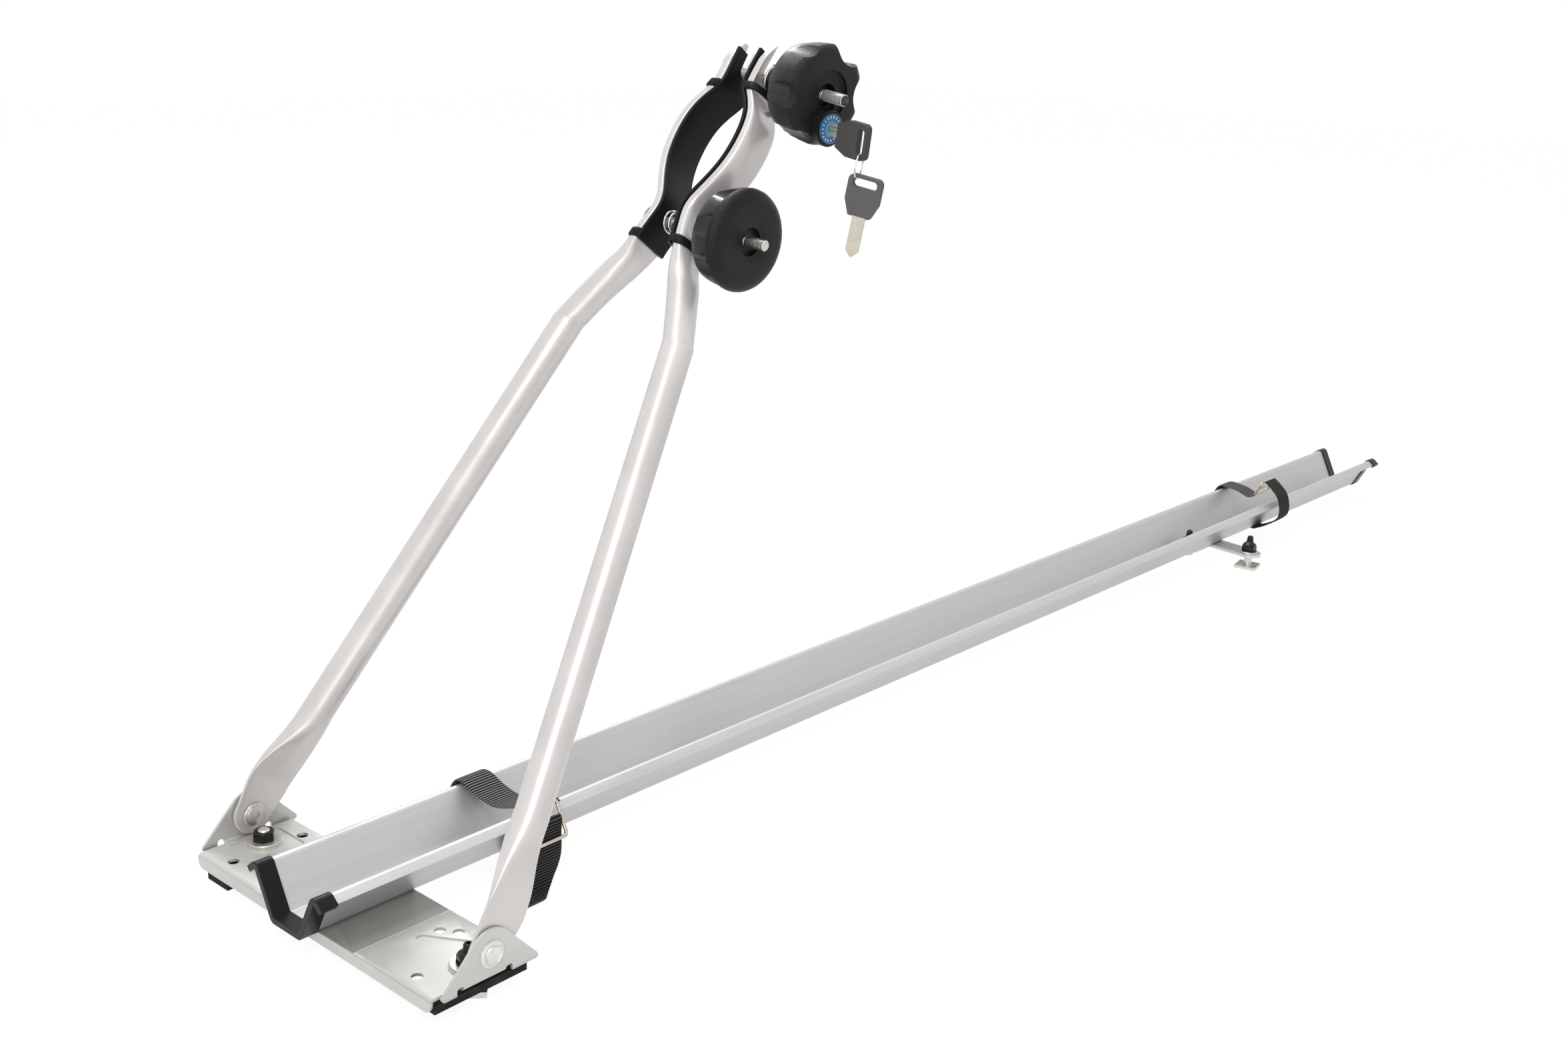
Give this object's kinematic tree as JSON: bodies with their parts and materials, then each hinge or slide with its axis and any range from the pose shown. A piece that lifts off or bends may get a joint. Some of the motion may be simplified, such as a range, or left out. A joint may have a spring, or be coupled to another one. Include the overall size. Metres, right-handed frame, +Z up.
{
  "type": "roof mounted bike carrier",
  "caption": "Roof bike carrier: a wheel rail on a base plate with folding clamp arms that grip the down tube, hand wheels with a lock, wheel straps and a swivelling rear foot.",
  "frame": {"origin": "centre of the base plate's four corner holes, on the plate's top face", "axes": "+X rearward along the wheel rail, +Y to the right, +Z up"},
  "size_m": [1.5024, 0.2582, 0.5406],
  "materials": {
    "plate_paint": "semi-gloss silver paint",
    "arm_paint": "semi-gloss silver paint",
    "rail_aluminium": "satin",
    "pad_rubber": "matt",
    "bolt_zinc": "zinc plated",
    "bar_zinc": "zinc plated",
    "rivet_steel": "bright",
    "cap_plastic": "glossy black",
    "liner_plastic": "fine grained black",
    "knob_plastic": "fine grained black",
    "insert_brass": "turned",
    "spring_steel": "bright wire",
    "lock_blue": "blue with pale marks",
    "key_nickel": "nickel plated",
    "key_plastic": "satin dark grey",
    "ring_steel": "bright wire",
    "webbing": "ribbed black webbing",
    "buckle_wire": "bronze tinted wire"
  },
  "bodies": {
    "root": {"base_plate": "plate_paint", "pad_left": "pad_rubber", "pad_right": "pad_rubber", "front_washers": "bolt_zinc", "pivot_rivet_left": "rivet_steel", "pivot_rivet_right": "rivet_steel", "pivot_washers": "bolt_zinc", "rail": "rail_aluminium", "rail_screws": "bolt_zinc", "rail_nuts": "bolt_zinc", "front_end_cap": "cap_plastic", "rear_end_cap": "cap_plastic", "rear_pivot_screw": "bolt_zinc", "rear_pivot_nut": "cap_plastic", "rear_pivot_washer": "bolt_zinc"},
    "front_bolt_left": {"front_t_bolt_left": "bolt_zinc", "front_cap_nut_left": "cap_plastic"},
    "front_bolt_right": {"front_t_bolt_right": "bolt_zinc", "front_cap_nut_right": "cap_plastic"},
    "clamp_frame": {"arm_right": "arm_paint", "jaw_liner_right": "liner_plastic", "lower_bolt": "bolt_zinc", "lower_spring": "spring_steel", "upper_bolt_pin": "rivet_steel"},
    "clamp_jaw": {"arm_left": "arm_paint", "jaw_liner_left": "liner_plastic"},
    "lower_clamp_washer": {"lower_washer": "bolt_zinc"},
    "lower_hand_wheel": {"lower_knob": "knob_plastic", "lower_knob_insert": "insert_brass"},
    "upper_swing_bolt": {"upper_bolt": "bolt_zinc"},
    "upper_clamp_washer": {"upper_washer": "bolt_zinc"},
    "upper_hand_wheel": {"upper_knob": "knob_plastic", "upper_knob_insert": "insert_brass", "lock_barrel": "lock_blue"},
    "lock_key": {"lock_plug": "lock_blue", "key_blade": "key_nickel", "key_head": "key_plastic"},
    "key_ring_link": {"key_ring": "ring_steel"},
    "spare_key": {"spare_key_blade": "key_nickel", "spare_key_head": "key_plastic"},
    "rear_foot_bar": {"rear_bar": "bar_zinc", "rear_bar_washer": "bolt_zinc"},
    "rear_bolt": {"rear_t_bolt": "bolt_zinc", "rear_cap_nut": "cap_plastic"},
    "front_wheel_strap": {"front_strap": "webbing", "front_buckle": "buckle_wire"},
    "rear_wheel_strap": {"rear_strap": "webbing", "rear_buckle": "buckle_wire"}
  },
  "joints": [
    {"name": "clamp_fold", "type": "hinge", "parent": "root", "child": "clamp_frame", "pos_m": [0.005, 0, 0.0146], "axis": [0, 1, 0], "range_deg": [-36, 45]},
    {"name": "jaw_close", "type": "hinge", "parent": "clamp_frame", "child": "clamp_jaw", "pos_m": [0.005, -0.122, 0.0146], "axis": [-0.809, 0, 0.5878], "range_deg": [0, 1.21], "deforming": ["lower_spring"]},
    {"name": "lower_washer_travel", "type": "slide", "parent": "clamp_frame", "child": "lower_clamp_washer", "axis": [0.0359, 0.9981, 0.0494], "range_m": [0, 0.0102]},
    {"name": "lower_knob_turn", "type": "hinge", "parent": "lower_clamp_washer", "child": "lower_hand_wheel", "pos_m": [0.28508, 0.0205, 0.4001], "axis": [-0.0359, -0.9981, -0.0494], "range_deg": [0, 2880]},
    {"name": "upper_bolt_swing", "type": "hinge", "parent": "clamp_frame", "child": "upper_swing_bolt", "pos_m": [0.35726, 0.0291, 0.49944], "axis": [-0.809, 0, 0.5878], "range_deg": [0, 75]},
    {"name": "upper_washer_travel", "type": "slide", "parent": "upper_swing_bolt", "child": "upper_clamp_washer", "axis": [-0.0869, -0.989, -0.1196], "range_m": [0, 0.0122]},
    {"name": "upper_knob_turn", "type": "hinge", "parent": "upper_clamp_washer", "child": "upper_hand_wheel", "pos_m": [0.35726, 0.0291, 0.49944], "axis": [0.0869, 0.989, 0.1196], "range_deg": [0, 3456]},
    {"name": "key_turn", "type": "hinge", "parent": "upper_hand_wheel", "child": "lock_key", "pos_m": [0.34852, -0.06914, 0.46702], "axis": [-0.0869, -0.989, -0.1196], "range_deg": [0, 90]},
    {"name": "key_ring_swing", "type": "hinge", "parent": "lock_key", "child": "key_ring_link", "pos_m": [0.34606, -0.09606, 0.44559], "axis": [0.391, -0.914, -0.108], "range_deg": [-30, 30]},
    {"name": "spare_key_swing", "type": "hinge", "parent": "key_ring_link", "child": "spare_key", "pos_m": [0.34611, -0.09502, 0.43695], "axis": [0.9204, 0.3876, 0.0515], "range_deg": [-40, 40]},
    {"name": "rear_bar_swivel", "type": "hinge", "parent": "root", "child": "rear_foot_bar", "pos_m": [1.063, 0.0024, -0.0018], "axis": [0, 0, 1], "range_deg": [-80, 20]},
    {"name": "rear_bolt_turn", "type": "hinge", "parent": "rear_foot_bar", "child": "rear_bolt", "pos_m": [1.096, -0.0515, -0.0018], "axis": [0, 0, 1], "range_deg": [-90, 90]},
    {"name": "front_bolt_left_turn", "type": "hinge", "parent": "root", "child": "front_bolt_left", "pos_m": [0.0035, -0.107, 0], "axis": [0, 0, 1], "range_deg": [-90, 90]},
    {"name": "front_bolt_right_turn", "type": "hinge", "parent": "root", "child": "front_bolt_right", "pos_m": [0.0035, 0.107, 0], "axis": [0, 0, 1], "range_deg": [-90, 90]},
    {"name": "front_strap_slide", "type": "slide", "parent": "root", "child": "front_wheel_strap", "axis": [1, 0, 0], "range_m": [-0.03, 0.12]},
    {"name": "rear_strap_slide", "type": "slide", "parent": "root", "child": "rear_wheel_strap", "axis": [1, 0, 0], "range_m": [-0.02, 0.1]}
  ],
  "couplings": [
    {"joint": "jaw_close", "follows": "lower_knob_turn", "ratio": 0.000419},
    {"joint": "lower_washer_travel", "follows": "lower_knob_turn", "m_per_rad": 0.00019894},
    {"joint": "upper_washer_travel", "follows": "upper_knob_turn", "m_per_rad": 0.00019894}
  ]
}
